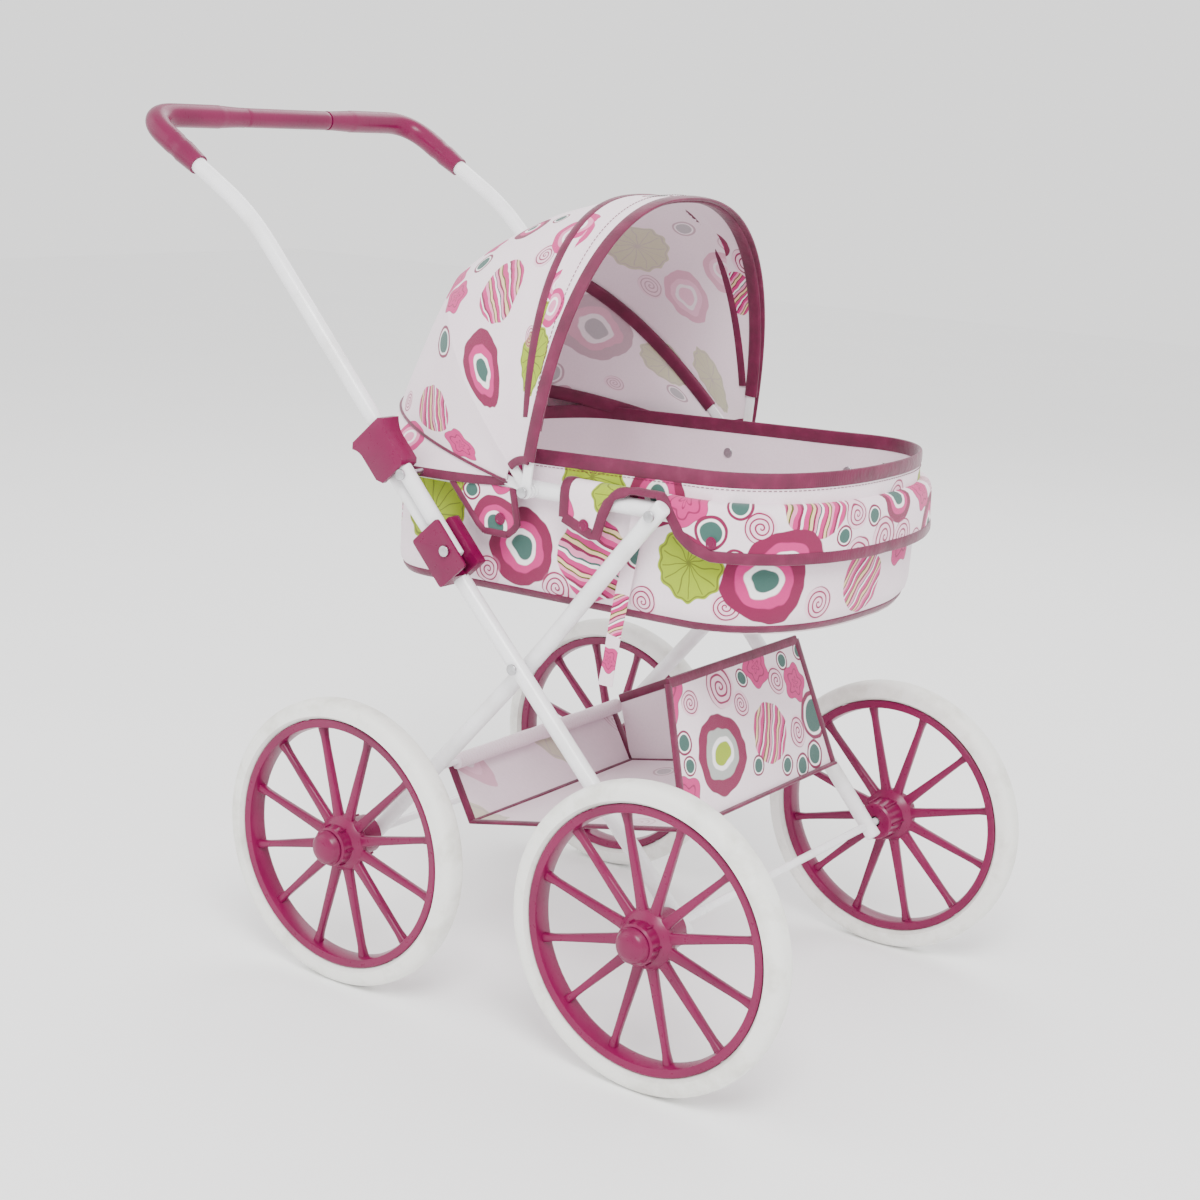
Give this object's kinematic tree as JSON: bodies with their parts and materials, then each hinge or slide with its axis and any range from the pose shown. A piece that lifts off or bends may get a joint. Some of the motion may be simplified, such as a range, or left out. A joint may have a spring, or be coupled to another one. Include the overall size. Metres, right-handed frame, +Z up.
{
  "type": "doll stroller",
  "caption": "Folding doll pram with a soft carrycot, a folding hood, a sling basket, spoked wheels and a push handle on a crossed tube frame.",
  "frame": {"origin": "on the ground, under the middle of the bounding box", "axes": "+X points forward, away from the person who pushes, +Y to the pram's left and +Z up"},
  "size_m": [0.7142, 0.4526, 0.7233],
  "materials": {
    "white_paint": "gloss",
    "magenta_plastic": "satin gloss",
    "tyre": "matt",
    "steel": "satin",
    "printed_cloth": "woven, printed",
    "board": "matt"
  },
  "bodies": {
    "chassis": {"front_leg_right": "white_paint", "front_leg_left": "white_paint", "push_nut_front_right": "steel", "push_nut_front_left": "steel", "cross_bolt_right": "steel", "cross_bolt_left": "steel", "pivot_collar_right": "magenta_plastic", "pivot_collar_left": "magenta_plastic", "leg_cap_right": "magenta_plastic", "leg_cap_left": "magenta_plastic", "handle_pivot_right": "steel", "handle_pivot_left": "steel", "front_axle": "white_paint", "basket": "printed_cloth"},
    "rear_frame": {"rear_leg_right": "white_paint", "rear_leg_left": "white_paint", "push_nut_rear_right": "steel", "push_nut_rear_left": "steel", "rear_axle": "white_paint", "basket_rod": "white_paint"},
    "handle": {"handle_tube": "white_paint", "grip_right": "magenta_plastic", "grip_left": "magenta_plastic", "grip_centre": "magenta_plastic", "rim_stud_right": "steel", "rim_stud_left": "steel"},
    "lock_right": {"lock_sleeve_right": "magenta_plastic"},
    "lock_left": {"lock_sleeve_left": "magenta_plastic"},
    "carrycot": {"carrycot_rim": "white_paint", "carrycot_shell": "printed_cloth", "front_apron": "printed_cloth", "hood_bow_rear": "white_paint", "hood_panel_rear": "printed_cloth", "rim_bolt_right": "steel", "rim_bolt_left": "steel", "hood_bolt_right": "steel", "hood_bolt_left": "steel", "tie_right": "printed_cloth", "tie_left": "printed_cloth"},
    "board": {"base_board": "board"},
    "hood_middle": {"hood_bow_middle": "white_paint", "hood_panel_middle": "printed_cloth"},
    "hood_front": {"hood_bow_front": "white_paint", "hood_panel_front": "printed_cloth", "hood_facing": "printed_cloth"},
    "wheel_set_front_right": {"tyre_front_right": "tyre", "wheel_front_right": "magenta_plastic", "hub_cap_front_right": "magenta_plastic"},
    "wheel_set_front_left": {"tyre_front_left": "tyre", "wheel_front_left": "magenta_plastic", "hub_cap_front_left": "magenta_plastic"},
    "wheel_set_rear_right": {"tyre_rear_right": "tyre", "wheel_rear_right": "magenta_plastic", "hub_cap_rear_right": "magenta_plastic"},
    "wheel_set_rear_left": {"tyre_rear_left": "tyre", "wheel_rear_left": "magenta_plastic", "hub_cap_rear_left": "magenta_plastic"}
  },
  "joints": [
    {"name": "handle_fold", "type": "hinge", "parent": "chassis", "child": "handle", "pos_m": [0.00993, 0, 0.38857], "axis": [0, 1, 0], "range_deg": [0, 130]},
    {"name": "rear_frame_fold", "type": "hinge", "parent": "chassis", "child": "rear_frame", "pos_m": [0.07165, 0, 0.29999], "axis": [0, 1, 0], "range_deg": [0, 76], "deforming": ["basket"]},
    {"name": "carrycot_tilt", "type": "hinge", "parent": "rear_frame", "child": "carrycot", "pos_m": [0.19375, 0, 0.443], "axis": [0, 1, 0], "range_deg": [-28, 0], "deforming": ["carrycot_shell", "front_apron", "tie_right", "tie_left"]},
    {"name": "board_lift", "type": "slide", "parent": "carrycot", "child": "board", "axis": [0, 0, 1], "range_m": [0, 0.034]},
    {"name": "hood_front_fold", "type": "hinge", "parent": "hood_middle", "child": "hood_front", "pos_m": [0.07175, 0, 0.443], "axis": [0, -1, 0], "range_deg": [0, 38]},
    {"name": "hood_middle_fold", "type": "hinge", "parent": "carrycot", "child": "hood_middle", "pos_m": [0.07175, 0, 0.443], "axis": [0, -1, 0], "range_deg": [0, 22]},
    {"name": "lock_slide_right", "type": "slide", "parent": "handle", "child": "lock_right", "axis": [-0.676, 0, 0.7369], "range_m": [0, 0.037]},
    {"name": "lock_slide_left", "type": "slide", "parent": "handle", "child": "lock_left", "axis": [-0.676, 0, 0.7369], "range_m": [0, 0.037]},
    {"name": "wheel_spin_front_right", "type": "hinge", "parent": "chassis", "child": "wheel_set_front_right", "pos_m": [0.23275, 0, 0.1244], "axis": [0, 1, 0], "continuous": true},
    {"name": "wheel_spin_front_left", "type": "hinge", "parent": "chassis", "child": "wheel_set_front_left", "pos_m": [0.23275, 0, 0.1244], "axis": [0, 1, 0], "continuous": true},
    {"name": "wheel_spin_rear_right", "type": "hinge", "parent": "rear_frame", "child": "wheel_set_rear_right", "pos_m": [-0.07825, 0, 0.1244], "axis": [0, 1, 0], "continuous": true},
    {"name": "wheel_spin_rear_left", "type": "hinge", "parent": "rear_frame", "child": "wheel_set_rear_left", "pos_m": [-0.07825, 0, 0.1244], "axis": [0, 1, 0], "continuous": true}
  ],
  "couplings": [
    {"joint": "rear_frame_fold", "follows": "handle_fold", "ratio": 0.57713},
    {"joint": "carrycot_tilt", "follows": "handle_fold", "ratio": -0.21069},
    {"joint": "board_lift", "follows": "handle_fold", "m_per_rad": 0.0141},
    {"joint": "hood_middle_fold", "follows": "hood_front_fold", "ratio": 0.57}
  ]
}
